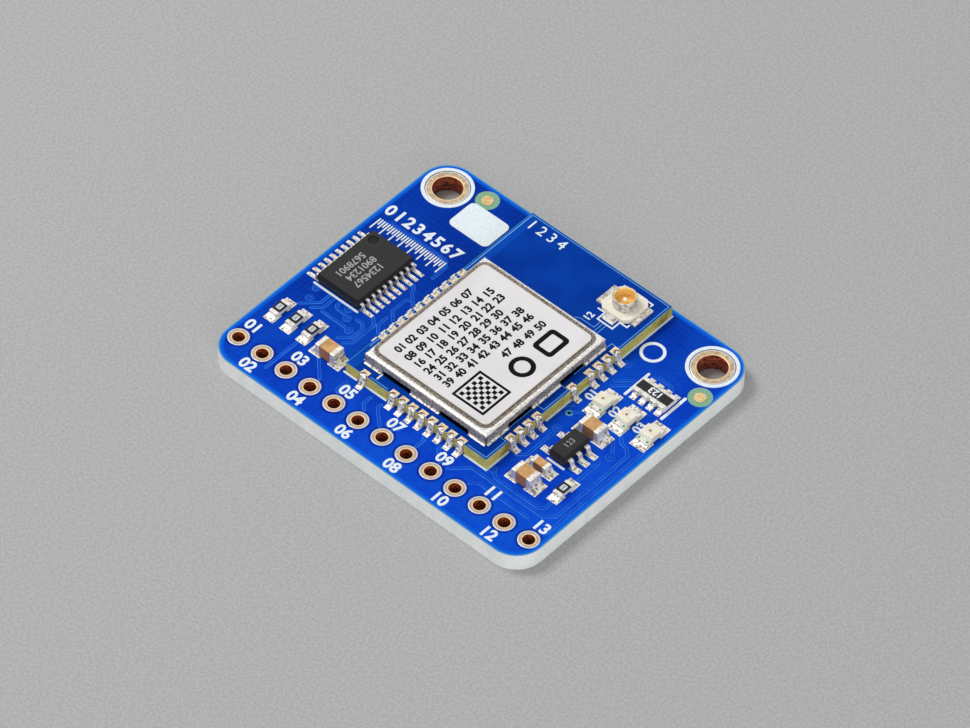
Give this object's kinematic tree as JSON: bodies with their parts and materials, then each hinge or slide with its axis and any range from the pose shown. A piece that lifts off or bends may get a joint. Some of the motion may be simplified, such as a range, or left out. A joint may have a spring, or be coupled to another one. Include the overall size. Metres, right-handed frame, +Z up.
{
  "type": "wireless module breakout board",
  "caption": "Blue breakout board carrying an edge-soldered radio module with a shield can and coaxial socket, a row of plated header holes and two mounting holes.",
  "frame": {"origin": "centre of the carrier board's underside", "axes": "+X along the header row, with the level shifter on -X and the lamps on +X; +Y from the header row towards the mounting holes; +Z up out of the parts side"},
  "size_m": [0.033, 0.028, 0.0039],
  "materials": {
    "carrier_mask": "blue solder mask over copper and glass-fibre laminate",
    "module_mask": "darker blue solder mask, glossy",
    "gold_plating": "thin gold flash over copper, satin",
    "bare_copper_mark": "gold-flashed copper dot, satin",
    "tinned_copper": "reflowed tin, satin",
    "solder": "reflowed solder, bright",
    "can_sheet": "tin-plated sheet, satin and finely speckled",
    "label_film": "pale grey printed film",
    "chip_moulding": "black moulding compound, fine grain",
    "lead_metal": "tin-plated leads",
    "crystal_metal": "seam-welded metal lid on ceramic",
    "ferrite": "dark fired ferrite",
    "capacitor_ceramic": "tan fired ceramic",
    "socket_moulding": "cream heat-proof moulding",
    "socket_gold": "gold-plated contact, bright",
    "resistor_ceramic": "white alumina",
    "resistor_glaze": "black glass glaze",
    "lamp_base": "cream laminate",
    "lamp_lens": "milky clear epoxy",
    "lamp_die": "dark semiconductor die"
  },
  "bodies": {
    "root": {"carrier_board": "carrier_mask", "header_hole_plating": "gold_plating", "mounting_hole_plating": "gold_plating", "via_plating": "gold_plating", "fiducials": "bare_copper_mark", "carrier_lands": "tinned_copper", "module_board": "module_mask", "module_edge_plating": "gold_plating", "module_edge_solder": "solder", "shield_can": "can_sheet", "shield_can_solder": "solder", "can_label": "label_film", "radio_chip": "chip_moulding", "radio_chip_contacts": "tinned_copper", "flash_chip": "chip_moulding", "crystal": "crystal_metal", "power_inductors": "ferrite", "module_capacitors": "capacitor_ceramic", "module_capacitor_ends": "lead_metal", "coax_lands": "tinned_copper", "coax_insulator": "socket_moulding", "coax_ring_contact": "socket_gold", "coax_centre_contact": "socket_gold", "level_shifter": "chip_moulding", "level_shifter_leads": "lead_metal", "regulator": "chip_moulding", "regulator_leads": "lead_metal", "lead_solder": "solder", "module_supply_capacitor": "capacitor_ceramic", "output_capacitor": "capacitor_ceramic", "input_capacitor": "capacitor_ceramic", "bypass_capacitor": "capacitor_ceramic", "capacitor_ends": "lead_metal", "resistor_bases": "resistor_ceramic", "resistor_glaze": "resistor_glaze", "resistor_ends": "lead_metal", "array_base": "resistor_ceramic", "array_glaze": "resistor_glaze", "array_terminals": "lead_metal", "lamp_bases": "lamp_base", "lamp_lenses": "lamp_lens", "lamp_dies": "lamp_die", "lamp_terminals": "lead_metal", "chip_solder": "solder"}
  },
  "joints": []
}
